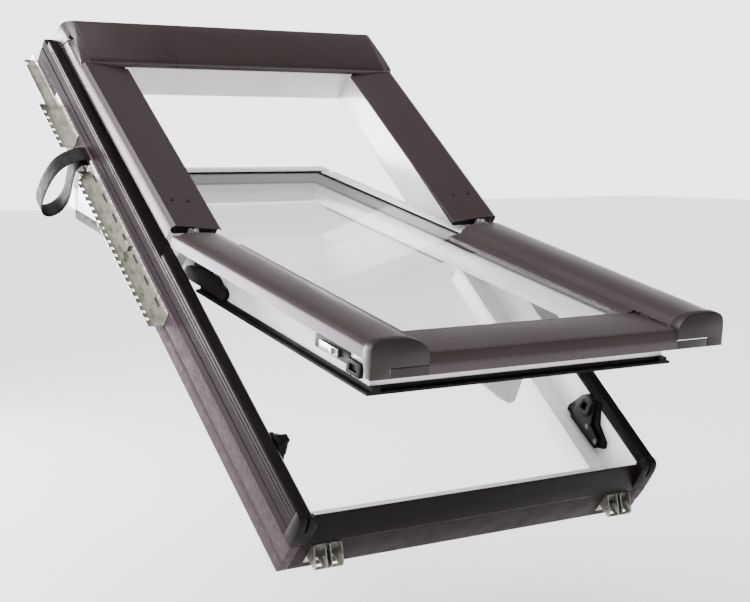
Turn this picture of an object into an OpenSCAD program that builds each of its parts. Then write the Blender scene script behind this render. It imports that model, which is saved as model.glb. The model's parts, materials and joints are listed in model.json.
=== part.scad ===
// Centre-pivot roof window: fixed outer frame with flashing covers and a tilting sash.
// Units are millimetres. The part stands pitched as in a roof: X runs across the
// slope, +Y is up-slope on the level and +Z is up. The origin is the middle of the
// lower front edge of the insulation collar.
// Inside the modules every profile is written flat in the roof plane: x across,
// v up the slope from the collar's front face, w outward from the collar's top edge.

/* [Overall] */
// Width over the insulation collar
frame_w = 740; // [620:1:900]
// Length over the insulation collar
frame_l = 1180; // [940:1:1440]
// Pitch of the roof plane above level
roof_pitch = 41; // [15:1:75]
// Opening angle of the sash as stored
open_angle = 28.4; // [0:0.1:60]
// Height of the hinge line above the collar's top edge
pivot_w = 83; // [81:0.5:86]

/* [Collar] */
// Thickness of the insulation collar
collar_t = 20; // [16:1:30]
// Depth of the insulation collar into the roof
collar_h = 60; // [50:1:80]

/* [Frame lining] */
// Width of the plastic lining beside the lower half
lining_w = 50; // [46:1:60]
// Width of the plastic lining beside the upper half
lining_upper_w = 30; // [26:1:34]
// Depth of the sealing ledge below the collar's top edge
ledge_drop = 20; // [18:0.5:26]
// Height of the outer upstand above the collar's top edge
upstand_h = 57; // [55:0.5:57.5]
// Height of the upper lining above the collar's top edge
lining_h = 72; // [70:0.5:74]
// Width of the upstand's inner lip
upstand_t = 11; // [9:0.5:14]
// Width of the bottom lining rail
sill_w = 53; // [50:1:60]
// Width of the top lining rail
head_w = 23; // [18:1:30]

/* [Sash] */
// Clear gap between the sash and the lower lining
sash_gap = 2; // [1.5:0.5:4]
// Width of the sash rails
rail_w = 50; // [46:1:60]
// Thickness of the sash rails
rail_t = 71; // [66:1:72]
// Thickness of each pane
pane_t = 4; // [3:0.5:6]
// Thickness of the sealed glazing unit
unit_t = 26; // [20:1:26]

/* [Covers] */
// Width of the side covers
cover_w = 101; // [90:1:110]
// Thickness of the cover sheet
sheet_t = 1.2; // [1:0.1:1.6]
// Fall of the upper side covers towards the hood
cover_fall = 1.45; // [1.3:0.05:1.5]
// Distance from the hinge line to the end of the sash side covers
cover_gap = 18; // [18:1:26]

/* [Hidden] */
hw = frame_w / 2;
ux = hw - collar_t;
low_x = ux - lining_w;
up_x = ux - lining_upper_w;
in_x = ux - upstand_t;
sash_x = low_x - sash_gap;
pivot_v = frame_l / 2 + 7;
head_v = frame_l - collar_t - head_w;
sash_v0 = 64.7;
sash_v1 = head_v - 2.3;
ledge_end = pivot_v - 22;
t0 = 32.3;
rail_b = 34 - rail_t;
glass_t = 30;
bed_t = glass_t - unit_t;
cap_x = ux + 3;
cov_x = cap_x - cover_w;
hood_v = frame_l - 126;
front_v = -10;
out_x = hw - 0.5;
skirt_w = 62;
cap_v = front_v + 24.7;
pin_r = 5;
run_gap = 0.05;
lock_v = 172;
lid_v = pivot_v + 7.5;
handle_x = 2;

function nrm(a, b) = let(d = b - a, l = norm(d)) [-d[1] / l, d[0] / l];
function miter(n1, n2, t) = t * (n1 + n2) / (1 + n1 * n2);
function off_pt(p, i, t) =
    i == 0 ? p[0] + t * nrm(p[0], p[1])
    : i == len(p) - 1 ? p[i] + t * nrm(p[i - 1], p[i])
    : p[i] + miter(nrm(p[i - 1], p[i]), nrm(p[i], p[i + 1]), t);
function inset(p, t) = [for (i = [0:len(p) - 1]) off_pt(p, i, t)];
function rev(p) = [for (i = [len(p) - 1:-1:0]) p[i]];
function sheet(p, t) = concat(p, rev(inset(p, t)));

module in_roof() {
    rotate([roof_pitch, 0, 0])
        translate([0, 0, collar_h])
            children();
}
module on_sash() {
    in_roof()
        translate([0, pivot_v, pivot_w])
            rotate([-open_angle, 0, 0])
                translate([0, -pivot_v, -pivot_w])
                    children();
}
module side(s) {
    if (s > 0) children();
    else mirror([1, 0, 0]) children();
}
module along_v(v0, v1) {
    translate([0, v1, 0])
        rotate([90, 0, 0])
            linear_extrude(v1 - v0)
                children();
}
module along_x(x0, x1) {
    translate([x0, 0, 0])
        rotate([90, 0, 90])
            linear_extrude(x1 - x0)
                children();
}
module box(x0, x1, v0, v1, w0, w1) {
    translate([x0, v0, w0])
        cube([x1 - x0, v1 - v0, w1 - w0]);
}

// ---------- fixed frame: lining ----------
module bottom_rail() {
    color([0.93, 0.93, 0.93]) in_roof()
        union() {
            box(-ux, ux, collar_t, collar_t + sill_w, -collar_h, -ledge_drop);
            along_x(4 - in_x, in_x - 4)
                polygon([
                    [collar_t, -ledge_drop - 1], [30, -ledge_drop - 1], [30, 27], [22.5, 37], [collar_t, 33]
                ]);
        }
}
module top_rail() {
    color([0.93, 0.93, 0.93]) in_roof()
        difference() {
            along_x(-ux, ux)
                polygon([
                    [head_v, -collar_h], [head_v + head_w, -collar_h],
                    [head_v + head_w, 67.3], [head_v, 67.3]
                ]);
            box(-up_x - 3, up_x + 3, head_v - 1, head_v + 3, 8, 30);
        }
}
module jamb(s) {
    color([0.93, 0.93, 0.93]) in_roof() side(s)
        union() {
            along_v(collar_t + sill_w, ledge_end)
                polygon([
                    [low_x, -collar_h], [ux, -collar_h], [ux, 0], [ux - 5, 0], [ux - 5, 44],
                    [in_x, 44], [in_x, -ledge_drop], [low_x, -ledge_drop]
                ]);
            box(in_x - 4, ux, collar_t, 33, -ledge_drop, 0);
            box(in_x, ux, 32, collar_t + sill_w + 1, -ledge_drop, 0);
            box(in_x, ux - 5, 25, collar_t + sill_w + 1, -1, 44);
            along_v(ledge_end, head_v)
                polygon([
                    [up_x, -collar_h], [ux, -collar_h], [ux, 0], [ux - 5, 0], [ux - 5, 44],
                    [in_x, 44], [in_x, lining_h], [up_x, lining_h]
                ]);
        }
}
module left_jamb() { jamb(-1); }
module right_jamb() { jamb(1); }

// ---------- fixed frame: insulation collar ----------
module bottom_collar() {
    color([0.36, 0.32, 0.33]) in_roof()
        box(-ux, ux, 0, collar_t, -collar_h, 0);
}
module top_collar() {
    color([0.36, 0.32, 0.33]) in_roof()
        box(-ux, ux, frame_l - collar_t, frame_l, -collar_h, 0);
}
module collar_side(s) {
    color([0.55, 0.53, 0.58]) in_roof() side(s)
        along_v(0, frame_l)
            polygon([
                [ux, -collar_h], [hw, -collar_h], [hw, -38], [hw - 2, -36], [hw - 2, -33],
                [hw, -31], [hw, 0], [ux, 0]
            ]);
}
module left_collar() { collar_side(-1); }
module right_collar() { collar_side(1); }

// ---------- fixed frame: upstands ----------
module upstand_shape(x) {
    polygon([
        [x, 0], [out_x, 0], [out_x, 15], [out_x - 1.4, 16.4], [out_x - 1.4, 18.6], [out_x, 20],
        [out_x, 35], [out_x - 7, 35], [out_x - 7, 6], [x, 6]
    ]);
}
module upstand(s) {
    color([0.30, 0.26, 0.27]) in_roof() side(s)
        union() {
            along_v(25, head_v)
                upstand_shape(ux - 5);
            along_v(head_v - 1, frame_l)
                upstand_shape(ux);
        }
}
module left_upstand() { upstand(-1); }
module right_upstand() { upstand(1); }
module upstand_cap(s) {
    h = upstand_h;
    color([0.08, 0.08, 0.09]) in_roof() side(s)
        union() {
            along_v(25, ledge_end)
                polygon([
                    [in_x, 44], [ux - 5, 44], [ux - 5, 6], [out_x - 7, 6], [out_x - 7, 35],
                    [out_x, 35], [out_x, 38], [out_x - 1.5, 39.5], [out_x, 41], [out_x, 46],
                    [out_x - 1.5, 47.5], [out_x, 49], [out_x, h - 3], [out_x - 2, h],
                    [ux - 2, h], [ux - 4, h - 1.6], [in_x, 47]
                ]);
            along_v(ledge_end, head_v)
                polygon([
                    [in_x, 44], [ux - 5, 44], [ux - 5, 6], [out_x - 7, 6], [out_x - 7, 35],
                    [out_x, 35], [out_x, 38], [out_x - 1.5, 39.5], [out_x, 41], [out_x, 44],
                    [out_x - 2, 46], [in_x, 46]
                ]);
            along_v(head_v, frame_l)
                polygon([[ux, 6], [out_x - 7, 6], [out_x - 7, 35], [ux, 35]]);
            along_v(head_v, frame_l - collar_t)
                polygon([
                    [ux, 34], [out_x - 7, 34], [out_x - 7, 35], [out_x, 35], [out_x, 44],
                    [out_x - 2, 46], [ux, 46]
                ]);
        }
}
module left_upstand_cap() { upstand_cap(-1); }
module right_upstand_cap() { upstand_cap(1); }
module corner(s) {
    h = upstand_h;
    color([0.07, 0.07, 0.08]) in_roof() side(s)
        difference() {
            along_x(in_x - 4, out_x)
                polygon([
                    [0.6, 0], [25, 0], [25, h], [16.5, h], [11.5, h - 2.2], [7.8, h - 6.5],
                    [4.5, h - 17], [2.2, h - 36]
                ]);
            along_x(in_x - 5, in_x)
                polygon([[2, -1], [26, -1], [26, 46], [20, 40]]);
            along_v(-20, 30)
                polygon([
                    [in_x - 5, 46], [in_x, 47], [ux - 4, h - 1.6], [ux - 2, h], [ux - 2, h + 2],
                    [in_x - 5, h + 2]
                ]);
            box(cap_x - 2.6, cap_x + 2.2, -20, cap_v + 0.4, 30, 80);
        }
}
module left_corner() { corner(-1); }
module right_corner() { corner(1); }
module bottom_gutter() {
    color([0.07, 0.07, 0.08]) in_roof()
        along_x(4 - in_x, in_x - 4)
            polygon([
                [0, 0], [0, 4], [9, 23], [18, 40.5], [20.5, 44], [22.5, 44], [33, 29],
                [33, -ledge_drop], [30, -ledge_drop], [30, 27], [22.5, 37], [collar_t, 33],
                [collar_t, 0]
            ]);
}
// ---------- fixed frame: upper covers and their stops ----------
lid_in = 81.4;
lid_out = 93;
lid = [
    [cap_x, skirt_w], [cap_x, 84], [cap_x - 2.2, 90], [cap_x - 8, lid_out],
    [cov_x + 5, lid_in], [cov_x + 1, lid_in - 1], [cov_x, lid_in - 4]
];
lid_len = hood_v - 0.5 - lid_v;
module in_lid() {
    translate([0, lid_v, lid_in])
        rotate([-cover_fall, 0, 0])
            translate([0, -lid_v, -lid_in])
                children();
}
module upper_cover(s) {
    color([0.27, 0.23, 0.23]) in_roof() side(s)
        in_lid()
            union() {
                along_v(lid_v, lid_v + lid_len)
                    polygon(sheet(lid, sheet_t));
                along_x(cap_x - sheet_t, cap_x)
                    polygon([
                        [lid_v + lid_len - 1, skirt_w], [frame_l - 43, skirt_w],
                        [frame_l - 55, 86], [lid_v + lid_len - 1, 84]
                    ]);
            }
}
module left_upper_cover() { upper_cover(-1); }
module right_upper_cover() { upper_cover(1); }
module stop(s) {
    und = inset(lid, sheet_t);
    color([0.06, 0.06, 0.07]) in_roof() side(s)
        union() {
            difference() {
                in_lid()
                    along_v(lid_v + 3, lid_v + lid_len)
                        polygon([und[3] - [1, 0.16], und[4] + [1, 0.1], [cov_x + 6, 40], [ux - 6, 40], [ux - 6, und[3][1] - 1]]);
                box(cov_x - 5, up_x, lid_v - 9, frame_l, 20, 67.3);
                box(up_x - 1, ux + 5, lid_v - 9, frame_l, 20, lining_h);
            }
            box(cov_x + 6, up_x, lid_v + lid_len - 2, head_v - 30, 67.3, 68.3);
            box(cov_x + 6, up_x, hood_v + 3, head_v - 30, 67.3, 70.5);
        }
}
module left_stop() { stop(-1); }
module right_stop() { stop(1); }

// ---------- fixed frame: hood ----------
hood_line = [
    [frame_l - 3, 36.5], [frame_l - 5, 48], [frame_l - 8, 62], [frame_l - 11, 78],
    [frame_l - 15, 90], [frame_l - 22, 98], [frame_l - 40, 96], [hood_v + 13, 85],
    [hood_v + 4, 81.5], [hood_v, 72.8]
];
module top_stop() {
    color([0.06, 0.06, 0.07]) in_roof()
        box(-up_x, up_x, head_v - 30, frame_l - collar_t, 67.3, 72);
}
module hood_carrier() {
    u = inset(hood_line, sheet_t);
    color([0.22, 0.2, 0.2]) in_roof()
        along_x(-hw + 37, hw - 37)
            polygon([
                [head_v, 72], [frame_l - collar_t, 72], [frame_l - collar_t, 0], [frame_l - 6, 0],
                u[0], u[1], u[2], u[3], u[4], u[5], u[6], [head_v, u[6][1] - 0.6]
            ]);
}
module hood() {
    color([0.27, 0.23, 0.23]) in_roof()
        along_x(-hw + 37, hw - 37)
            polygon(sheet(hood_line, sheet_t));
}
module hood_cap(s) {
    back = [for (i = [0:6]) hood_line[i]];
    color([0.25, 0.215, 0.215]) in_roof() side(s)
        difference() {
            union() {
                along_x(hw - 37, cap_x - 1.6)
                    polygon(concat(hood_line, [
                        [hood_v + 2.2, 72.8], [hood_v + 5.6, 79.6], [hood_v + 14, 82.8], [head_v - 10, 88],
                        [head_v, 74], [head_v + head_w + 1, 74], [head_v + head_w + 1, 47.5],
                        [head_v + head_w + 3, 36.5]
                    ]));
                along_x(cap_x - 1.6, cap_x + 0.5)
                    polygon(concat(back, [
                        [frame_l - 72, 91], [frame_l - 56, 78], [frame_l - 46, 62], [frame_l - 39, 47.5],
                        [head_v + head_w + 1, 47.5], [head_v + head_w + 3, 36.5]
                    ]));
            }
            along_v(hood_v - 5, frame_l + 40)
                polygon([
                    [cap_x + 0.6, 75], [cap_x - 1.2, 83], [cap_x - 5, 89], [cap_x - 12, 94],
                    [cap_x - 21, 97.8], [cap_x - 21, 115], [cap_x + 8, 115], [cap_x + 8, 75]
                ]);
            along_x(cap_x - 7, cap_x + 3)
                polygon([
                    [frame_l - 54, 82], [frame_l - 52, 83.6], [frame_l - 68, 92], [frame_l - 70, 90]
                ]);
        }
}
module left_hood_cap() { hood_cap(-1); }
module right_hood_cap() { hood_cap(1); }

// ---------- fixed frame: hardware ----------
module lid_head(x) {
    a = atan2(lid_out - lid_in, cover_w - 13);
    w = lid_in + (x - cov_x - 5) * tan(a);
    in_lid()
        translate([x, lid_v + 69, w])
            rotate([0, -a, 0])
                cylinder(h = 1.6, r = 3.4, $fn = 20);
}
module screws() {
    color([0.12, 0.12, 0.13]) in_roof()
        for (s = [-1, 1])
            side(s) {
                for (x = [cov_x + 38, cov_x + 71])
                    lid_head(x);
                for (p = [[lock_v - 30, 9], [lock_v - 62, 4]])
                    translate([in_x - 16, p[0], p[1]])
                        rotate([0, -90, 0])
                            cylinder(h = 1.5, r = 4.2, $fn = 20);
            }
}
module hinge_plate(s) {
    color([0.5, 0.5, 0.52]) in_roof() side(s)
        union() {
            along_x(up_x - 5, up_x)
                polygon([
                    [pivot_v - 7, pivot_w], [pivot_v - 5, pivot_w + 5], [pivot_v, pivot_w + 7],
                    [pivot_v + 5, pivot_w + 5], [pivot_v + 6, pivot_w - 2], [pivot_v + 7, 64],
                    [pivot_v + 44, 58], [pivot_v + 44, 30], [pivot_v - 14, 30], [pivot_v - 14, 62]
                ]);
            translate([up_x - 17, pivot_v, pivot_w])
                rotate([0, 90, 0])
                    cylinder(h = 13, r = pin_r, $fn = 40);
        }
}
module left_hinge_plate() { hinge_plate(-1); }
module right_hinge_plate() { hinge_plate(1); }
module keeper(s) {
    v = lock_v;
    color([0.1, 0.1, 0.11]) in_roof() side(s)
        difference() {
            union() {
                along_x(in_x - 8, in_x)
                    polygon([
                        [v + 32, -15], [v + 34, -6], [v + 22, 35], [v + 14, 46], [v - 14, 56],
                        [v - 22, 49], [v - 41, 24], [v - 75, 13], [v - 80, 3], [v - 60, -14]
                    ]);
                along_x(in_x - 16, in_x - 8)
                    polygon([
                        [v + 12, -12], [v + 16, 0], [v + 14, 42], [v + 2, 52], [v - 16, 52],
                        [v - 34, 16], [v - 66, 10], [v - 68, -8]
                    ]);
                along_x(in_x - 22, in_x - 16)
                    polygon([
                        [v + 10, 20], [v + 12, 40], [v - 1, 56.5], [v - 15, 57.5], [v - 14.5, 49],
                        [v - 21, 30], [v - 16, 19]
                    ]);
            }
            along_x(in_x - 23, in_x - 10)
                polygon([[v + 3, 26], [v + 3, 40], [v - 7, 46], [v - 11, 30]]);
        }
}
module left_keeper() { keeper(-1); }
module right_keeper() { keeper(1); }
module bracket_lower(s) {
    a = pivot_v - 103;
    b = pivot_v + 284;
    color([0.72, 0.73, 0.72]) in_roof() side(s)
        difference() {
            union() {
                along_v(a, b)
                    polygon([
                        [hw, -4], [hw, -31], [hw, -33.5], [hw + 30, -33.5], [hw + 30, -32],
                        [hw + 1.5, -32], [hw + 1.5, -4]
                    ]);
                translate([hw + 1.5, a + 178, -18])
                    box(0, 5, -7, 7, -7, 7);
            }
            for (i = [0:23])
                translate([hw + 23, a + 14 + i * 17, -36])
                    cube([9, 7, 8]);
            for (i = [0:7])
                translate([hw - 1, a + 30 + i * 52, -22])
                    cube([5, 22, 7]);
            translate([hw + 12, b - 10, -36])
                rotate([0, 0, -45])
                    cube([40, 20, 8]);
        }
}
module left_lower_bracket() { bracket_lower(-1); }
module right_lower_bracket() { bracket_lower(1); }
module bracket_upper(s) {
    a = frame_l - 232;
    b = frame_l - 110;
    color([0.72, 0.73, 0.72]) in_roof() side(s)
        difference() {
            union() {
                along_v(a, b)
                    polygon([
                        [hw, -4], [hw, -31], [hw, -33.5], [hw + 30, -33.5], [hw + 30, -32],
                        [hw + 1.5, -32], [hw + 1.5, -4]
                    ]);
                along_v(b, frame_l + 22)
                    polygon([
                        [hw, -16], [hw, -33.5], [hw + 17, -33.5], [hw + 17, -32],
                        [hw + 1.5, -32], [hw + 1.5, -16]
                    ]);
            }
            for (i = [0:5])
                translate([hw + 23, a + 12 + i * 17, -36])
                    cube([9, 7, 8]);
            translate([hw + 8, frame_l + 12, -36])
                rotate([0, 0, -45])
                    cube([30, 20, 8]);
        }
}
module left_upper_bracket() { bracket_upper(-1); }
module right_upper_bracket() { bracket_upper(1); }
module sill_clip(s) {
    color([0.75, 0.75, 0.73]) in_roof() side(s)
        difference() {
            union() {
                box(hw - 93, hw - 41, -1.5, 0, -44, -1);
                box(hw - 93, hw - 41, -29, 0, -27.5, -26);
                for (x = [hw - 93, hw - 72, hw - 63.5, hw - 42.5])
                    along_x(x, x + 1.5)
                        polygon([[0, -1], [-4, -1], [-29, -20], [-29, -26], [0, -26]]);
            }
            box(hw - 87, hw - 76, -24, -8, -28, -25);
            box(hw - 58, hw - 47, -24, -8, -28, -25);
            translate([hw - 67, 1, -36])
                rotate([90, 0, 0])
                    cylinder(h = 4, r = 2.6, $fn = 24);
        }
}
module left_sill_clip() { sill_clip(-1); }
module right_sill_clip() { sill_clip(1); }
strap_line = [
    [-hw, -6], [-hw - 12, -6], [-hw - 26, -12], [-hw - 40, -20], [-hw - 52, -34], [-hw - 60, -54],
    [-hw - 64, -78], [-hw - 65, -102], [-hw - 63, -124], [-hw - 56, -140], [-hw - 44, -147],
    [-hw - 31, -144], [-hw - 20, -133], [-hw - 14, -116], [-hw - 13, -95], [-hw - 16, -70],
    [-hw - 19, -48], [-hw - 18, -32], [-hw - 11, -20], [-hw, -20]
];
module strap() {
    v = pivot_v + 304;
    color([0.07, 0.07, 0.07]) in_roof()
        along_v(v - 17, v + 17)
            polygon(sheet(strap_line, 1.6));
}

// ---------- sash: plastic rails and glazing ----------
module rail_shape(top) {
    polygon([
        [0, rail_b], [rail_w - 4, rail_b], [rail_w, rail_b + 4], [rail_w, bed_t - 1],
        [26.3, bed_t - 1], [26.3, min(top, 32)], [top > 33 ? 36 : 26.3, min(top, 32)],
        [top > 33 ? 36 : 26.3, min(top, 33)], [top > 33 ? 33 : 26, top], [0, top]
    ]);
}
module stile(s) {
    color([0.93, 0.93, 0.94]) on_sash() side(s)
        translate([sash_x, 0, t0])
            mirror([1, 0, 0])
                along_v(sash_v0 + rail_w, sash_v1 - rail_w)
                    rail_shape(34);
}
module left_stile() { stile(-1); }
module right_stile() { stile(1); }
module sash_bottom_rail() {
    color([0.93, 0.93, 0.94]) on_sash()
        translate([0, sash_v0, t0])
            along_x(-sash_x, sash_x)
                rail_shape(29);
}
module sash_top_rail() {
    color([0.93, 0.93, 0.94]) on_sash()
        difference() {
            translate([0, sash_v1, t0])
                mirror([0, 1, 0])
                    along_x(-sash_x, sash_x)
                        rail_shape(34);
            box(-sash_x - 1, sash_x + 1, sash_v1 - 9, sash_v1 + 1, t0 + rail_b - 1, t0 - 6);
        }
}
gx = sash_x - 26.5;
gv0 = sash_v0 + 26.5;
gv1 = sash_v1 - 26.5;
module outer_pane() {
    color([0.8, 0.88, 0.88, 0.35]) on_sash()
        box(-gx, gx, gv0, gv1, t0 + glass_t - pane_t, t0 + glass_t);
}
module inner_pane() {
    color([0.8, 0.88, 0.88, 0.35]) on_sash()
        box(-gx, gx, gv0, gv1, t0 + bed_t, t0 + bed_t + pane_t);
}
module spacer() {
    color([0.55, 0.56, 0.58]) on_sash()
        difference() {
            box(-gx + 2, gx - 2, gv0 + 2, gv1 - 2, t0 + bed_t + pane_t, t0 + glass_t - pane_t);
            box(-gx + 15, gx - 15, gv0 + 15, gv1 - 15, t0, t0 + glass_t);
        }
}
module glazing_gasket() {
    color([0.05, 0.05, 0.05]) on_sash()
        union() {
            difference() {
                box(-gx, gx, gv0 + 20, gv1, t0 + glass_t, t0 + 32);
                box(-gx + 11, gx - 11, gv0, gv1 - 11, t0, t0 + 40);
            }
            difference() {
                box(-gx - 0.2, gx + 0.2, gv0 - 0.2, gv1 + 0.2, t0 + bed_t - 1, t0 + bed_t);
                box(-gx + 20, gx - 20, gv0 + 20, gv1 - 20, t0, t0 + 40);
            }
        }
}
module sash_seal() {
    b = t0 + rail_b;
    color([0.05, 0.05, 0.05]) on_sash()
        union() {
            for (s = [-1, 1])
                side(s)
                    along_v(sash_v0 - 11, ledge_end)
                        polygon([
                            [sash_x - 14, b], [sash_x - 14, b - 11], [sash_x + 10, b - 11], [sash_x + 10, b - 7],
                            [sash_x + 2, b - 6], [sash_x + 2, b]
                        ]);
            along_x(-sash_x - 2, sash_x + 2)
                polygon([
                    [sash_v0 + 14, b], [sash_v0 + 14, b - 11], [sash_v0 - 11, b - 11], [sash_v0 - 11, b - 7],
                    [sash_v0 - 2, b - 6], [sash_v0 - 2, b]
                ]);
            for (s = [-1, 1])
                side(s)
                    along_v(pivot_v + 70, sash_v1 - 46)
                        polygon([
                            [sash_x - 14, b], [sash_x - 14, b - 16], [sash_x, b - 18], [sash_x + 1, b - 5],
                            [sash_x - 1, b]
                        ]);
        }
}
module front_gasket() {
    color([0.06, 0.06, 0.06]) on_sash()
        box(-sash_x, sash_x, sash_v0 - 4, sash_v0, t0 - 28, t0 + 29);
}

// ---------- sash: covers ----------
side_line = [
    [cap_x, t0 + 26.5], [cap_x, t0 + 42], [cap_x - 1.6, t0 + 47], [cap_x - 5, t0 + 50.8],
    [cap_x - 12, t0 + 53.4], [cap_x - 25, t0 + 54.8], [cap_x - 47, t0 + 55], [cap_x - 63, t0 + 54.4],
    [cap_x - 75, t0 + 52.6], [cap_x - 85, t0 + 49.6], [cap_x - 95, t0 + 43.6], [cov_x, t0 + 36],
    [cov_x - 3, t0 + 34.6], [cov_x - 6, t0 + 35.2], [cov_x - 10, t0 + 33], [cov_x - 14, t0 + 33.4],
    [cov_x - 19, t0 + 31.2], [cov_x - 28, t0 + 31.2]
];
module sash_cover(s) {
    color([0.27, 0.23, 0.23]) on_sash() side(s)
        difference() {
            along_v(cap_v, pivot_v - 2)
                union() {
                    polygon(sheet(side_line, sheet_t));
                    polygon([
                        [cap_x - 69, t0 + 34], [cap_x - 67, t0 + 34],
                        [cap_x - 67, t0 + 53.4], [cap_x - 69, t0 + 53.1]
                    ]);
                }
            box(cov_x - 40, cov_x - 1.9, -30, front_v + 107, t0, t0 + 60);
            box(cap_x - 70, cap_x - 66, -30, sash_v0, t0, t0 + 52);
            translate([0, 0, t0])
                linear_extrude(70)
                    polygon([
                        [cov_x - 40, pivot_v - cover_gap], [cap_x - 5, pivot_v - cover_gap],
                        [cap_x - 1.5, pivot_v - 1], [cov_x - 40, pivot_v - 1]
                    ]);
        }
}
module left_sash_cover() { sash_cover(-1); }
module right_sash_cover() { sash_cover(1); }
front_line = [
    [front_v, t0 + 2], [front_v + 1.6, t0 + 15], [front_v + 6.6, t0 + 28], [front_v + 9.4, t0 + 32.4], [front_v + 14, t0 + 34],
    [front_v + 99, t0 + 31.2], [front_v + 107, t0 + 31.2]
];
module sash_bottom_cover() {
    color([0.27, 0.23, 0.23]) on_sash()
        along_x(-cov_x + 2, cov_x - 2)
            difference() {
                union() {
                    polygon(sheet(rev(front_line), sheet_t));
                    polygon([
                        [sash_v0 + 2, t0 + 29], [sash_v0 + 4, t0 + 29],
                        [sash_v0 + 4, t0 + 31.2], [sash_v0 + 2, t0 + 31.2]
                    ]);
                    polygon([
                        [front_v + 0.4, t0 + 2], [front_v + 6, t0 + 2],
                        [front_v + 6, t0 + 3.2], [front_v + 0.4, t0 + 3.2]
                    ]);
                }
                polygon([
                    [front_v, t0 + 15.4], [front_v + 2.6, t0 + 15.8], [front_v + 2.8, t0 + 16.8], [front_v, t0 + 17.2]
                ]);
            }
}
cap_line = [
    [cap_x + 0.6, t0 - 10], [cap_x + 0.6, t0 + 42.4], [cap_x - 1.1, t0 + 48.2], [cap_x - 4.9, t0 + 53],
    [cap_x - 12.2, t0 + 56], [cap_x - 25, t0 + 57.6], [cap_x - 47, t0 + 58.4], [cap_x - 63, t0 + 57.4],
    [cap_x - 76, t0 + 55], [cap_x - 87, t0 + 51], [cap_x - 97, t0 + 44], [cov_x - 2, t0 + 35],
    [cov_x - 2, t0 - 10]
];
cap_side = [
    [cap_v, t0 + 26.5], [front_v + 12, t0 + 2], [front_v, t0 + 2], [front_v + 1.6, t0 + 15],
    [front_v + 3.2, t0 + 30], [front_v + 6.5, t0 + 46], [front_v + 11, t0 + 57], [front_v + 17, t0 + 60],
    [cap_v, t0 + 60]
];
module cover_cap(s) {
    inner = inset(cap_line, 1.6);
    color([0.27, 0.23, 0.23]) on_sash() side(s)
        difference() {
            intersection() {
                along_v(front_v - 5, cap_v)
                    polygon(cap_line);
                along_x(cov_x - 5, cap_x + 5)
                    polygon(cap_side);
            }
            intersection() {
                along_v(front_v - 5, cap_v + 5)
                    polygon(inner);
                along_x(cov_x - 5, cap_x + 5)
                    polygon([
                        [front_v + 2, t0 - 12], [front_v + 2.2, t0 + 2], [front_v + 3.6, t0 + 15],
                        [front_v + 5.2, t0 + 30], [front_v + 8.6, t0 + 45.6], [front_v + 12.4, t0 + 54.8],
                        [front_v + 18, t0 + 57], [cap_v + 6, t0 + 57], [cap_v + 6, t0 - 12]
                    ]);
            }
            along_v(front_v - 5, front_v + 9)
                polygon([
                    [cap_x - 35, t0 - 5], [cap_x - 33.6, t0 - 5], [cap_x - 33.6, t0 + 17], [cov_x - 5, t0 + 17],
                    [cov_x - 5, t0 + 15.6], [cap_x - 35, t0 + 15.6]
                ]);
        }
}
module left_cover_cap() { cover_cap(-1); }
module right_cover_cap() { cover_cap(1); }

// ---------- sash: hinge, lock and handle ----------
module hinge_arm(s) {
    color([0.55, 0.55, 0.57]) on_sash() side(s)
        difference() {
            union() {
                along_x(up_x - 16, up_x - 10)
                    polygon([
                        [pivot_v + 7, pivot_w], [pivot_v + 5, pivot_w + 5], [pivot_v, pivot_w + 7],
                        [pivot_v - 5, pivot_w + 5], [pivot_v - 9, pivot_w - 4], [pivot_v - 60, 62],
                        [pivot_v - 60, 44], [pivot_v + 6, 44]
                    ]);
                along_x(sash_x, up_x - 16)
                    polygon([
                        [pivot_v - 60, 62], [pivot_v - 60, 44], [pivot_v + 6, 44], [pivot_v + 6, 62]
                    ]);
            }
            translate([up_x - 20, pivot_v, pivot_w])
                rotate([0, 90, 0])
                    cylinder(h = 16, r = pin_r + run_gap, $fn = 40);
        }
}
module left_hinge_arm() { hinge_arm(-1); }
module right_hinge_arm() { hinge_arm(1); }
module hinge_housings() {
    color([0.07, 0.07, 0.08]) on_sash()
        for (s = [-1, 1])
            side(s) {
                along_x(sash_x, sash_x + 8)
                    polygon([
                        [pivot_v + 29, t0 - 23], [pivot_v + 22, t0 - 14], [pivot_v - 20, t0 - 6],
                        [pivot_v - 78, t0 - 4], [pivot_v - 88, t0 - 8], [pivot_v - 96, t0 - 13],
                        [pivot_v - 112, t0 - 17], [pivot_v - 117, t0 - 22], [pivot_v - 117, t0 - 31],
                        [pivot_v - 110, t0 - 36.5], [pivot_v + 20, t0 - 36.5], [pivot_v + 29, t0 - 33]
                    ]);
                along_x(sash_x, sash_x + 5)
                    polygon([
                        [pivot_v - 2, 43.5], [pivot_v - 52, 43.5], [pivot_v - 60, t0 - 6],
                        [pivot_v + 2, t0 - 12]
                    ]);
            }
}
module lock_guides() {
    color([0.08, 0.08, 0.09]) on_sash()
        for (s = [-1, 1])
            side(s)
                difference() {
                    union() {
                        box(sash_x, sash_x + 7, 82, 118, t0 - 32, t0 - 10);
                        box(sash_x, sash_x + 1.5, 118, 214, t0 - 24, t0 - 4);
                    }
                    box(sash_x + 3, sash_x + 9, 90, 110, t0 - 26, t0 - 16);
                }
}
module handle_base() {
    color([0.62, 0.62, 0.63]) on_sash()
        union() {
            box(handle_x - 42, handle_x + 20, sash_v0 + 15, sash_v0 + 46, t0 + rail_b - 5, t0 + rail_b);
            translate([handle_x, sash_v0 + 30.5, t0 + rail_b - 14])
                cylinder(h = 9, r = 10, $fn = 40);
        }
}
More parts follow.
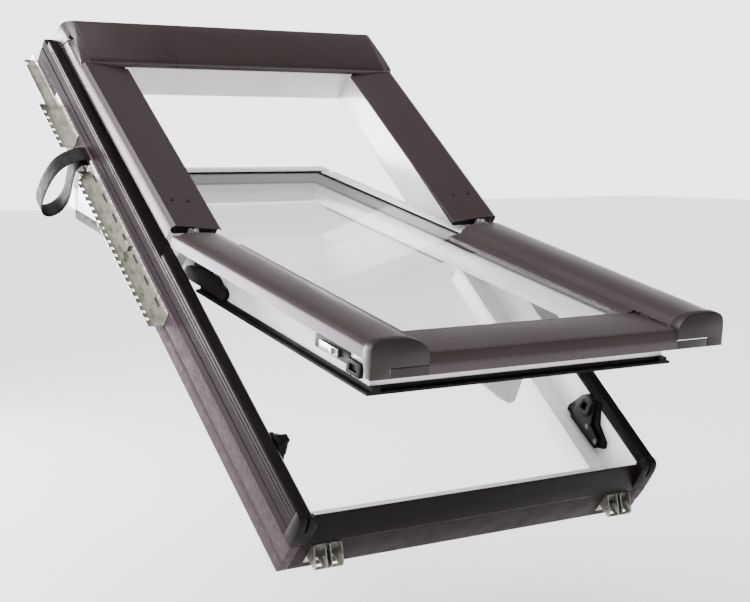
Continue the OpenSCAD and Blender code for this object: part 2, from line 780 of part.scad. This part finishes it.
module handle() {
    b = t0 + rail_b - 14.2;
    color([0.7, 0.7, 0.71]) on_sash()
        union() {
            translate([handle_x, sash_v0 + 30.5, b - 10])
                cylinder(h = 10, r = 8, $fn = 40);
            along_v(sash_v0 + 20, sash_v0 + 44)
                polygon([
                    [handle_x + 14, b - 9], [handle_x + 11.5, b - 22], [handle_x + 6, b - 44],
                    [handle_x + 1, b - 48], [handle_x - 6, b - 49], [handle_x - 13, b - 46.5],
                    [handle_x - 52, b - 19], [handle_x - 56, b - 14], [handle_x - 54, b - 9]
                ]);
        }
}
module bolt(s) {
    color([0.75, 0.75, 0.76]) on_sash() side(s)
        union() {
            box(sash_x + 1.7, sash_x + 6, 145, 196, t0 - 20, t0 - 8);
            translate([sash_x + 6, 158, t0 - 14])
                rotate([0, 90, 0])
                    cylinder(h = 5, r = 4.5, $fn = 32);
        }
}
module left_bolt() { bolt(-1); }
module right_bolt() { bolt(1); }

bottom_rail();
top_rail();
left_jamb();
right_jamb();
bottom_collar();
top_collar();
left_collar();
right_collar();
left_upstand();
right_upstand();
left_upstand_cap();
right_upstand_cap();
left_corner();
right_corner();
bottom_gutter();
left_stop();
right_stop();
top_stop();
hood_carrier();
hood();
left_hood_cap();
right_hood_cap();
left_upper_cover();
right_upper_cover();
screws();
left_hinge_plate();
right_hinge_plate();
left_keeper();
right_keeper();
left_lower_bracket();
left_upper_bracket();
right_lower_bracket();
right_upper_bracket();
left_sill_clip();
right_sill_clip();
strap();
left_stile();
right_stile();
sash_bottom_rail();
sash_top_rail();
outer_pane();
inner_pane();
spacer();
glazing_gasket();
sash_seal();
front_gasket();
left_sash_cover();
right_sash_cover();
sash_bottom_cover();
left_cover_cap();
right_cover_cap();
left_hinge_arm();
right_hinge_arm();
hinge_housings();
lock_guides();
handle_base();
handle();
left_bolt();
right_bolt();
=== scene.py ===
import json
import math

import bmesh
import bpy
from mathutils import Matrix, Vector


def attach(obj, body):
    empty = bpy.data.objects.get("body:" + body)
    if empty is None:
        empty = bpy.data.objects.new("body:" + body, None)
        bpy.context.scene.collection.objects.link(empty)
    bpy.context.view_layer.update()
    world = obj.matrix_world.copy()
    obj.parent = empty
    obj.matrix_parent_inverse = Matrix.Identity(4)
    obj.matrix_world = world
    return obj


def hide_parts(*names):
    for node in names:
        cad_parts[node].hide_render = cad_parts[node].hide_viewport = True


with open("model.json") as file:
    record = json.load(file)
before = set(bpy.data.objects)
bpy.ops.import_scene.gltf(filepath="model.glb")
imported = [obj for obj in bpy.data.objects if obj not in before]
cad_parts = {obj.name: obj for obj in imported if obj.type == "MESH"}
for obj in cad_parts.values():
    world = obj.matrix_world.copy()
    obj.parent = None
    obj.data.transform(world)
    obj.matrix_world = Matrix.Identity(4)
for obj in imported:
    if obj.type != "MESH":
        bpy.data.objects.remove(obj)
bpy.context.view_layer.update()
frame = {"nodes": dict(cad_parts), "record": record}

NODES = frame["nodes"]
SUBPARTS = frame["record"]["subparts"]
PITCH = math.radians(41.0)  # the roof's slope
COLLAR_DEPTH = 60.0  # mm, from the collar's top down to its underside

# ------------------------------------------------------------- materials

EVEN = (1, 1, 1)


def srgb(r, g, b):
    """A colour given in 0 to 255 steps, as the linear RGBA that the shaders take."""

    def linear(c):
        c = c / 255.0
        return c / 12.92 if c <= 0.04045 else ((c + 0.055) / 1.055) ** 2.4

    return (linear(r), linear(g), linear(b), 1.0)


class Mat:
    """A node material: base colour with patches, roughness variation, grain bump and a painted
    highlight along the edges.
    """

    HIGHLIGHT_REACH = 0.0008  # how far from an edge the painted highlight line goes, in metres
    HIGHLIGHT_BEND = (0.96, 0.78)  # cosine between face and rounded normal: no painted highlight, full painted highlight

    def __init__(self, name, base, rough=0.5, metal=0.0):
        self.m = bpy.data.materials.new(name)
        self.m.use_nodes = True
        self.nt = self.m.node_tree
        self.nt.nodes.clear()
        output = self.nt.nodes.new("ShaderNodeOutputMaterial")
        self.b = self.nt.nodes.new("ShaderNodeBsdfPrincipled")
        self.link(self.b.outputs[0], output.inputs[0])
        self.socket("Base Color", base)
        self.socket("Roughness", rough)
        self.socket("Metallic", metal)
        self.base = base
        coords = self.nt.nodes.new("ShaderNodeTexCoord")
        turned = self.nt.nodes.new("ShaderNodeMapping")
        # turn the texture frame so that its Y runs along the roof slope
        turned.inputs["Rotation"].default_value = (-PITCH, 0.0, 0.0)
        self.link(coords.outputs["Object"], turned.inputs["Vector"])
        self.co = turned.outputs[0]
        self.col = None
        self.hgt = None

    def link(self, source, target):
        self.nt.links.new(source, target)

    def socket(self, name, value):
        """Set a socket of the shader itself."""
        self.b.inputs[name].default_value = value
        return self

    def scaled(self, scale):
        """The texture frame, scaled along each axis."""
        n = self.nt.nodes.new("ShaderNodeMapping")
        n.inputs["Scale"].default_value = scale
        self.link(self.co, n.inputs["Vector"])
        return n.outputs[0]

    def noise(self, scale, detail=3.0, stretch=EVEN):
        n = self.nt.nodes.new("ShaderNodeTexNoise")
        n.inputs["Scale"].default_value = scale
        n.inputs["Detail"].default_value = detail
        n.inputs["Roughness"].default_value = 0.55
        self.link(self.scaled(stretch), n.inputs["Vector"])
        return n.outputs["Fac"]

    def ramp(self, fac, lo, hi, a=0.0, b=1.0):
        """Map lo..hi to a..b, and hold the ends."""
        r = self.nt.nodes.new("ShaderNodeMapRange")
        r.inputs["From Min"].default_value = lo
        r.inputs["From Max"].default_value = hi
        r.inputs["To Min"].default_value = a
        r.inputs["To Max"].default_value = b
        r.clamp = True
        self.link(fac, r.inputs["Value"])
        return r.outputs[0]

    def mix(self, fac, other):
        """Mix another colour over the colour so far."""
        x = self.nt.nodes.new("ShaderNodeMix")
        x.data_type = "RGBA"
        factor, under, over = x.inputs[0], x.inputs[6], x.inputs[7]
        self.link(fac, factor)
        if self.col is None:
            under.default_value = self.base
        else:
            self.link(self.col, under)
        over.default_value = other
        self.col = x.outputs[2]
        self.link(self.col, self.b.inputs["Base Color"])
        return self

    def patches(self, other, scale, lo, hi, amount, stretch=EVEN):
        """Soft patches of another colour."""
        return self.mix(self.ramp(self.noise(scale, 4.0, stretch), lo, hi, 0.0, amount), other)

    def vary_rough(self, scale, lo, hi, stretch=EVEN):
        """Roughness that wanders between lo and hi."""
        o = self.ramp(self.noise(scale, 3.0, stretch), 0.35, 0.65, lo, hi)
        self.link(o, self.b.inputs["Roughness"])
        return self

    def bump(self, fac, strength, dist):
        n = self.nt.nodes.new("ShaderNodeBump")
        n.inputs["Strength"].default_value = strength
        n.inputs["Distance"].default_value = dist
        self.link(fac, n.inputs["Height"])
        if self.hgt is not None:
            self.link(self.hgt, n.inputs["Normal"])
        self.hgt = n.outputs[0]
        self.link(self.hgt, self.b.inputs["Normal"])
        return self

    def painted_edge_highlight(self, other, amount):
        """A painted highlight: a paler line along the edges, broken up by noise."""
        rounded = self.nt.nodes.new("ShaderNodeBevel")
        rounded.samples = 4
        rounded.inputs["Radius"].default_value = self.HIGHLIGHT_REACH
        geo = self.nt.nodes.new("ShaderNodeNewGeometry")
        dot = self.nt.nodes.new("ShaderNodeVectorMath")
        dot.operation = "DOT_PRODUCT"
        self.link(rounded.outputs[0], dot.inputs[0])
        self.link(geo.outputs["Normal"], dot.inputs[1])
        edge = self.ramp(dot.outputs["Value"], *self.HIGHLIGHT_BEND, 0.0, amount)
        broken = self.ramp(self.noise(60.0, 3.0), 0.35, 0.6)
        m = self.nt.nodes.new("ShaderNodeMath")
        m.operation = "MULTIPLY"
        self.link(edge, m.inputs[0])
        self.link(broken, m.inputs[1])
        return self.mix(m.outputs[0], other)

    def gloss(self, level):
        """How strongly the surface mirrors its surroundings (0.5 is the usual level)."""
        return self.socket("Specular IOR Level", level)


def cover_paint():
    """Satin dark brown-grey paint on folded sheet."""
    m = Mat("cover_paint", srgb(40, 31, 31), 0.3)
    m.patches(srgb(47, 39, 39), 5.0, 0.35, 0.7, 0.5, (1, 0.25, 1))
    # painted highlight along the edges
    m.painted_edge_highlight(srgb(120, 112, 110), 0.4)
    m.vary_rough(12.0, 0.27, 0.34, (1, 0.3, 1))
    m.socket("IOR", 1.52)
    m.socket("Specular Tint", (0.92, 0.84, 0.95, 1.0))
    m.bump(m.noise(260.0, 1.0), 0.02, 0.0002)
    return m.m


def cap_plastic():
    """Moulded end caps of the covers, a little duller than the paint."""
    m = Mat("cap_plastic", srgb(31, 24, 24), 0.36)
    m.patches(srgb(36, 29, 29), 25.0, 0.38, 0.66, 0.35)
    m.socket("IOR", 1.36)
    # painted highlight along the edges
    m.painted_edge_highlight(srgb(110, 100, 98), 0.35)
    m.vary_rough(30.0, 0.34, 0.44)
    m.bump(m.noise(260.0, 1.0), 0.03, 0.0003)
    return m.m


def hood_cap_paint():
    """The hood's end pieces: the covers' colour, with a glossier moulded face."""
    m = Mat("hood_cap_paint", srgb(58, 49, 52), 0.32)
    m.patches(srgb(64, 55, 58), 12.0, 0.38, 0.66, 0.35)
    m.socket("IOR", 1.62)
    # painted highlight along the edges
    m.painted_edge_highlight(srgb(120, 110, 112), 0.35)
    m.vary_rough(26.0, 0.28, 0.38)
    m.bump(m.noise(260.0, 1.0), 0.02, 0.0002)
    return m.m


def upstand_metal():
    """Brown-grey cladding of the frame's outer sides."""
    m = Mat("upstand_metal", srgb(31, 25, 26), 0.55)
    m.patches(srgb(44, 36, 39), 8.0, 0.4, 0.72, 0.4, (1, 0.08, 1))
    # painted highlight along the edges
    m.painted_edge_highlight(srgb(120, 110, 112), 0.5)
    m.vary_rough(16.0, 0.48, 0.6, (1, 0.2, 1))
    m.bump(m.noise(60.0, 3.0, (1, 0.06, 1)), 0.05, 0.0005)
    m.gloss(0.02)
    return m.m


def black_plastic():
    """Satin black moulded plastic."""
    m = Mat("black_plastic", srgb(17, 13, 13), 0.4)
    m.patches(srgb(26, 21, 21), 30.0, 0.5, 0.7, 0.35, (1, 0.2, 1))
    # painted highlight along the edges
    m.painted_edge_highlight(srgb(88, 84, 84), 0.35)
    m.vary_rough(35.0, 0.3, 0.42)
    m.bump(m.noise(600.0, 2.0), 0.06, 0.0003)
    m.gloss(0.06)
    return m.m


def black_rubber():
    """Matt black seals, with faint lines along their length."""
    m = Mat("black_rubber", srgb(17, 16, 17), 0.5)
    m.patches(srgb(28, 27, 28), 40.0, 0.48, 0.7, 0.4, (1, 0.1, 1))
    m.vary_rough(40.0, 0.42, 0.58)
    m.bump(m.noise(320.0, 3.0, (1, 0.3, 1)), 0.08, 0.0004)
    m.gloss(0.06)
    return m.m


def white_pvc():
    """Smooth white extruded plastic with a light sheen."""
    m = Mat("white_pvc", srgb(234, 230, 234), 0.26)
    m.patches(srgb(228, 224, 228), 3.0, 0.4, 0.65, 0.5)
    m.vary_rough(20.0, 0.2, 0.3)
    m.bump(m.noise(240.0, 2.0), 0.02, 0.0003)
    m.socket("Coat Weight", 0.2)
    m.socket("Coat Roughness", 0.15)
    return m.m


def collar_foam():
    """Lavender-grey insulation collar with a fine closed-cell surface."""
    m = Mat("collar_foam", srgb(64, 54, 58), 0.62)
    m.patches(srgb(50, 41, 45), 16.0, 0.4, 0.64, 0.55, (1, 0.12, 1))
    m.patches(srgb(92, 81, 88), 160.0, 0.5, 0.7, 0.35, (1, 0.5, 1))
    m.patches(srgb(36, 29, 33), 300.0, 0.6, 0.72, 0.4)
    # painted highlight along the edges
    m.painted_edge_highlight(srgb(180, 170, 178), 0.5)
    m.vary_rough(60.0, 0.52, 0.75)
    m.bump(m.noise(420.0, 4.0, (1, 0.6, 1)), 0.35, 0.0008)
    m.gloss(0.08)
    return m.m


def collar_dark():
    """The front collar: the side collars' foam, painted darker as shade on this face."""
    m = Mat("collar_dark", srgb(30, 23, 25), 0.5)
    m.patches(srgb(38, 31, 33), 12.0, 0.42, 0.68, 0.5, (0.15, 1, 1))
    # painted highlight along the edges
    m.painted_edge_highlight(srgb(130, 120, 122), 0.5)
    m.vary_rough(30.0, 0.42, 0.58)
    m.bump(m.noise(180.0, 3.0, (0.4, 1, 1)), 0.12, 0.0006)
    m.gloss(0.06)
    return m.m


def zinc():
    """Zinc-plated sheet steel, faintly yellow."""
    m = Mat("zinc", srgb(140, 139, 131), 0.32, 0.9)
    v = m.nt.nodes.new("ShaderNodeTexVoronoi")
    v.inputs["Scale"].default_value = 120.0
    m.link(m.co, v.inputs["Vector"])
    m.mix(m.ramp(v.outputs["Distance"], 0.1, 0.7, 0.0, 0.35), srgb(166, 165, 158))
    m.patches(srgb(104, 102, 94), 38.0, 0.42, 0.66, 0.6)
    # painted highlight along the edges
    m.painted_edge_highlight(srgb(245, 245, 242), 0.6)
    m.vary_rough(80.0, 0.24, 0.4)
    m.bump(m.noise(220.0, 3.0), 0.08, 0.0004)
    return m.m


def hinge_steel():
    """Bright steel of the hinges, bolts and lock faces."""
    m = Mat("hinge_steel", srgb(176, 176, 178), 0.3, 0.9)
    m.patches(srgb(152, 152, 154), 80.0, 0.45, 0.65, 0.6)
    # painted highlight along the edges
    m.painted_edge_highlight(srgb(232, 232, 234), 0.5)
    m.vary_rough(110.0, 0.22, 0.4)
    m.bump(m.noise(400.0, 3.0, (1, 0.2, 1)), 0.08, 0.0003)
    return m.m


def screw_steel():
    """Dark screw heads."""
    m = Mat("screw_steel", srgb(44, 40, 40), 0.38, 0.6)
    m.patches(srgb(30, 27, 27), 160.0, 0.42, 0.6, 0.5)
    # painted highlight along the edges
    m.painted_edge_highlight(srgb(150, 148, 146), 0.5)
    m.vary_rough(150.0, 0.3, 0.46)
    m.bump(m.noise(700.0, 2.0), 0.06, 0.0002)
    return m.m


def handle_alu():
    """Satin aluminium of the handle."""
    m = Mat("handle_alu", srgb(150, 147, 152), 0.34, 0.6)
    m.patches(srgb(132, 129, 134), 60.0, 0.45, 0.65, 0.5)
    # painted highlight along the edges
    m.painted_edge_highlight(srgb(235, 235, 238), 0.5)
    m.vary_rough(90.0, 0.28, 0.4)
    m.bump(m.noise(500.0, 2.0), 0.06, 0.0003)
    return m.m


def spacer_metal():
    """The grey bar between the two panes."""
    m = Mat("spacer_metal", srgb(92, 88, 92), 0.42, 0.6)
    m.patches(srgb(76, 72, 76), 70.0, 0.45, 0.65, 0.5)
    m.vary_rough(80.0, 0.36, 0.5)
    m.bump(m.noise(300.0, 2.0), 0.06, 0.0003)
    return m.m


def clear_glass():
    """Clear panes; the low IOR keeps the stack of two from turning grey."""
    m = Mat("clear_glass", (1.0, 1.0, 1.0, 1.0), 0.01)
    m.socket("Transmission Weight", 1.0)
    m.socket("IOR", 1.22)
    m.patches((0.985, 0.99, 0.987, 1.0), 2.2, 0.4, 0.65, 0.5)
    m.vary_rough(5.0, 0.004, 0.012)
    m.bump(m.noise(1.6, 1.0), 0.01, 0.001)
    return m.m


def black_webbing():
    """Woven black ribbon with fine ribs across."""
    m = Mat("webbing", srgb(20, 16, 17), 0.7)
    w = m.nt.nodes.new("ShaderNodeTexWave")
    w.wave_type = "BANDS"
    w.bands_direction = "Y"
    w.inputs["Scale"].default_value = 160.0
    w.inputs["Distortion"].default_value = 0.4
    m.link(m.co, w.inputs["Vector"])
    m.mix(m.ramp(w.outputs["Fac"], 0.2, 0.9, 0.0, 0.5), srgb(34, 29, 30))
    m.patches(srgb(28, 24, 25), 60.0, 0.45, 0.65, 0.4)
    m.vary_rough(90.0, 0.54, 0.7)
    m.bump(w.outputs["Fac"], 0.25, 0.0004)
    m.gloss(0.12)
    return m.m


MATS = {
    "white_pvc": white_pvc(),
    "collar_foam": collar_foam(),
    # the front collar's foam, painted darker as shade
    "collar_dark": collar_dark(),
    "cover_metal": cover_paint(),
    "cap_plastic": cap_plastic(),
    "upstand_metal": upstand_metal(),
    "black_plastic": black_plastic(),
    "black_rubber": black_rubber(),
    "clear_glass": clear_glass(),
    "spacer_metal": spacer_metal(),
    "zinc": zinc(),
    "hinge_steel": hinge_steel(),
    "black_webbing": black_webbing(),
    "handle_alu": handle_alu(),
}
for sub in SUBPARTS:
    slots = NODES[sub["node"]].data.materials
    slots.clear()
    slots.append(MATS[sub["material_slot"]])

# pieces that look different from the rest of their slot
NODES["screws"].data.materials[0] = screw_steel()
hood_paint = hood_cap_paint()
for name in ("left_hood_cap", "right_hood_cap"):
    NODES[name].data.materials[0] = hood_paint

# ------------------------------------------------------------- edges

WELD_REACH = 0.00002  # metres
BEVEL_FROM = math.radians(40)  # edges that turn more than this are rounded
SPLIT_FROM = math.radians(27)  # edges that turn more than this stay crisp
# edge rounding in metres, and the pieces that have it
BEVELS = {
    0.0006: ["lock_guides"],
    0.0008: ["left_bolt", "right_bolt"],
    0.0012: ["hood", "left_cover_cap", "right_cover_cap", "bottom_gutter", "handle_base"],
    0.0014: ["left_keeper", "right_keeper"],
    0.0015: [
        "left_collar", "right_collar", "hinge_housings", "left_stile", "right_stile",
        "sash_top_rail", "sash_bottom_rail", "left_jamb", "right_jamb", "top_rail", "bottom_rail",
    ],
    0.0018: ["left_corner", "right_corner"],
    0.002: ["left_hood_cap", "right_hood_cap", "bottom_collar", "top_collar"],
    0.003: ["handle"],
}
width_of = {name: width for width, names in BEVELS.items() for name in names}

for sub in SUBPARTS:
    o = NODES[sub["node"]]
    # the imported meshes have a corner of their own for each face, so they are welded first
    o.modifiers.new("weld", "WELD").merge_threshold = WELD_REACH
    if sub["node"] in width_of:
        edge = o.modifiers.new("edge", "BEVEL")
        edge.width = width_of[sub["node"]]
        edge.segments = 2
        edge.limit_method = "ANGLE"
        edge.angle_limit = BEVEL_FROM
        edge.harden_normals = False
    # rounded stretches shade smoothly, and corners stay crisp
    for f in o.data.polygons:
        f.use_smooth = True
    o.modifiers.new("crisp", "EDGE_SPLIT").split_angle = SPLIT_FROM

# ------------------------------------------------------------- strap

STRAP_V = 901.0  # mm up the slope, where the ribbon leaves the frame's side
STRAP_X = -370.0  # mm across, the frame's side
STRAP_WIDTH = 0.034
STRAP_THICK = 0.0015
STEPS = 6  # points on each stretch of the curve
# out from the side and down round the loop, in mm: (distance from the side, height)
STRAP_LOOP = [
    (0, -6.8), (12, -6.8), (26, -12.6), (40, -20.6), (52, -34.5), (59.3, -54.3),
    (63.2, -78), (64.2, -102), (62.2, -123.7), (55.5, -139.4), (44, -146.2), (31.4, -143.3),
    (20.7, -132.6), (14.8, -115.8), (13.8, -95), (16.8, -70), (19.8, -48), (18.7, -32.4),
    (11.4, -20.8), (0, -20.8),
]
# the ribbon's cross section, in widths and thicknesses: a selvedge at each side
STRAP_SECTION = [
    (-0.5, 0.0), (-0.47, 0.5), (-0.2, 0.42), (0.2, 0.42), (0.47, 0.5),
    (0.5, 0.0), (0.47, -0.5), (0.2, -0.42), (-0.2, -0.42), (-0.47, -0.5),
]


def smooth(path, steps):
    """A Catmull-Rom curve through the points."""
    out = []
    for i in range(len(path) - 1):
        p0 = path[max(i - 1, 0)]
        p1, p2 = path[i], path[i + 1]
        p3 = path[min(i + 2, len(path) - 1)]
        for k in range(steps):
            t = k / steps
            out.append(
                0.5
                * (
                    2 * p1
                    + (p2 - p0) * t
                    + (2 * p0 - 5 * p1 + 4 * p2 - p3) * t * t
                    + (3 * p1 - p0 - 3 * p2 + p3) * t * t * t
                )
            )
    out.append(path[-1])
    return out


def ribbon(name, path, axis, width, thick, mat):
    """A woven ribbon that follows the points, its width along axis and its two ends closed."""
    pts = smooth(path, STEPS)
    bm = bmesh.new()
    rows = []
    for i, p in enumerate(pts):
        along = (pts[min(i + 1, len(pts) - 1)] - pts[max(i - 1, 0)]).normalized()
        out = axis.cross(along).normalized()
        rows.append(
            [bm.verts.new(p + axis * (a * width) + out * (b * thick)) for a, b in STRAP_SECTION]
        )
    k = len(STRAP_SECTION)
    for r0, r1 in zip(rows, rows[1:]):
        for j in range(k):
            bm.faces.new((r0[j], r0[(j + 1) % k], r1[(j + 1) % k], r1[j]))
    bm.faces.new(rows[0])
    bm.faces.new(list(reversed(rows[-1])))
    bmesh.ops.recalc_face_normals(bm, faces=bm.faces)
    me = bpy.data.meshes.new(name)
    bm.to_mesh(me)
    bm.free()
    for f in me.polygons:
        f.use_smooth = True
    me.materials.append(mat)
    o = bpy.data.objects.new(name, me)
    bpy.context.scene.collection.objects.link(o)
    return o


def roof(x, v, w):
    """Frame millimetres (across, up the slope, out from the collar's top) to the row frame."""
    c, s = math.cos(PITCH), math.sin(PITCH)
    up = w + COLLAR_DEPTH
    return Vector((x, v * c - up * s, v * s + up * c)) / 1000.0


strap = ribbon(
    "strap_ribbon",
    [roof(STRAP_X - x, STRAP_V, w) for x, w in STRAP_LOOP],
    Vector((0, math.cos(PITCH), math.sin(PITCH))),
    STRAP_WIDTH,
    STRAP_THICK,
    MATS["black_webbing"],
)
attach(strap, "frame")
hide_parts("strap")

# ------------------------------------------------------------- stage, light, camera

FLOOR_SIZE = 40
FLOOR_Z = -0.32  # the window hangs free above it
KEY_POWER, KEY_SPREAD = 7.5, math.radians(70)
KEY_AT, KEY_TO = (-1.6, -0.5, 2.4), (0, 0, 0)
PANEL_POWER, PANEL_SIZE, PANEL_COLOR = 260, (1.9, 1.4), (1.0, 0.95, 1.0)
PANEL_AT, PANEL_TO = (-1.55, 3.45, 0.6), (-0.2, 0.5, 0.5)
LENS, SENSOR = 76.47, 36.0  # mm
CAMERA_SHIFT = 0.0034
CAMERA_REACH = 60.0  # metres, past the far edge of the floor
CAMERA_AT = (-1.61284, -2.02633, 0.64836)
CAMERA_RIGHT = (0.8185834, -0.5743875, 0.0005159)
CAMERA_FORWARD = (0.5716662, 0.8146173, -0.0979617)
# brightness of the world by height and by depth: (from, to, value there, value there)
WORLD_BY_HEIGHT = (0.1, 0.45, 3.4, 0.45)
WORLD_BY_DEPTH = (-0.35, 0.3, 0.2, 1.0)

scene = bpy.context.scene


def place(name, data):
    """Put new light or camera data into the scene."""
    o = bpy.data.objects.new(name, data)
    scene.collection.objects.link(o)
    return o


def aim(obj, at, target):
    """Stand a light at a point and turn it to another."""
    obj.location = at
    way = Vector(target) - obj.location
    obj.rotation_euler = way.to_track_quat("-Z", "Y").to_euler()


bpy.ops.mesh.primitive_plane_add(size=FLOOR_SIZE, location=(0, 0, FLOOR_Z))
floor = bpy.context.object
floor.name = "floor"
paper = Mat("floor", (0.96, 0.96, 0.96, 1.0), 0.9)
paper.patches((0.95, 0.95, 0.95, 1.0), 1.5, 0.4, 0.6, 0.5)
paper.gloss(0.1)
floor.data.materials.append(paper.m)

world = bpy.data.worlds.new("studio")
scene.world = world
world.use_nodes = True
tree = world.node_tree
background = tree.nodes["Background"]
where = tree.nodes.new("ShaderNodeTexCoord")
split = tree.nodes.new("ShaderNodeSeparateXYZ")


def fade(source, lo, hi, a, b):
    """A soft change from a at lo to b at hi."""
    n = tree.nodes.new("ShaderNodeMapRange")
    n.interpolation_type = "SMOOTHSTEP"
    for key, value in zip(("From Min", "From Max", "To Min", "To Max"), (lo, hi, a, b)):
        n.inputs[key].default_value = value
    tree.links.new(source, n.inputs["Value"])
    return n.outputs[0]


# bright low down and behind the object, dim overhead and in front, so the dark tops stay dark
product = tree.nodes.new("ShaderNodeMath")
product.operation = "MULTIPLY"
tree.links.new(where.outputs["Generated"], split.inputs[0])
tree.links.new(fade(split.outputs["Z"], *WORLD_BY_HEIGHT), product.inputs[0])
tree.links.new(fade(split.outputs["Y"], *WORLD_BY_DEPTH), product.inputs[1])
tree.links.new(product.outputs[0], background.inputs["Strength"])
background.inputs["Color"].default_value = (1.0, 1.0, 1.0, 1.0)

# a soft key from the front left
sun = bpy.data.lights.new("key", "SUN")
sun.energy = KEY_POWER
sun.angle = KEY_SPREAD
aim(place("key", sun), KEY_AT, KEY_TO)

# a panel behind on the left, for the sheen of the side skirts
light = bpy.data.lights.new("panel", "AREA")
light.shape = "RECTANGLE"
light.size, light.size_y = PANEL_SIZE
light.energy = PANEL_POWER
light.color = PANEL_COLOR
aim(place("panel", light), PANEL_AT, PANEL_TO)

optics = bpy.data.cameras.new("camera")
optics.sensor_width = SENSOR
optics.sensor_fit = "HORIZONTAL"
optics.lens = LENS
optics.shift_x = CAMERA_SHIFT
optics.clip_end = CAMERA_REACH
camera = place("camera", optics)
scene.camera = camera
right = Vector(CAMERA_RIGHT).normalized()
forward = Vector(CAMERA_FORWARD).normalized()
turn = Matrix((right, right.cross(forward), -forward)).transposed()
camera.matrix_world = Matrix.Translation(CAMERA_AT) @ turn.to_4x4()
